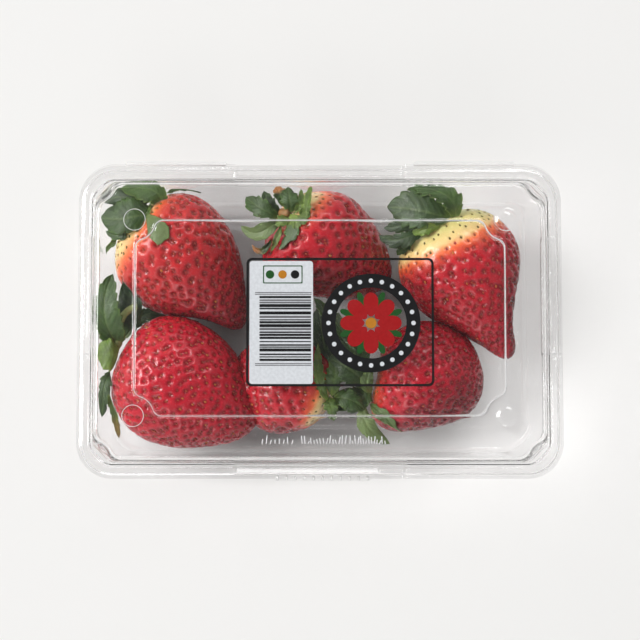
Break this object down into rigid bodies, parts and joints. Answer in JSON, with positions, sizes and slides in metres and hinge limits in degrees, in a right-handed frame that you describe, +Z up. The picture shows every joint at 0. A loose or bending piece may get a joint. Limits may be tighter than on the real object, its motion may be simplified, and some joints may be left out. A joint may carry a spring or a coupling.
{
  "type": "punnet of strawberries",
  "caption": "Clear hinged clamshell punnet, shut, with large ripe strawberries in one layer and a film label on its lid.",
  "frame": {"origin": "centre of the pack's plan box, on the surface that the tray's foot ring stands on", "axes": "+X along the long side, to the right when the opening tab faces the viewer; +Y to the hinge at the back; +Z up out of the lid"},
  "size_m": [0.187, 0.1236, 0.0479],
  "materials": {
    "clear_tray": "clear gloss sheet",
    "clear_lid": "clear gloss sheet",
    "label_film": "satin printed film",
    "ink_white": "satin ink",
    "ink_black": "satin ink",
    "ink_red": "satin ink",
    "ink_green": "satin ink",
    "ink_amber": "satin ink",
    "fruit_skin": "moist glossy fruit skin",
    "fruit_seed": "satin seed",
    "leaf_green": "satin leaf",
    "stem_green": "satin stalk"
  },
  "bodies": {
    "tray": {"tray": "clear_tray", "strawberries": "fruit_skin", "leaf_crown_1": "leaf_green", "leaf_crown_2": "leaf_green", "leaf_crown_3": "leaf_green", "leaf_crown_4": "leaf_green", "leaf_crown_5": "leaf_green", "leaf_crown_6": "leaf_green"},
    "lid": {"lid": "clear_lid", "label": "label_film"}
  },
  "joints": [
    {"name": "lid_hinge", "type": "hinge", "parent": "tray", "child": "lid", "pos_m": [0, 0.06105, 0.0329], "axis": [-1, 0, 0], "range_deg": [0, 180]}
  ]
}
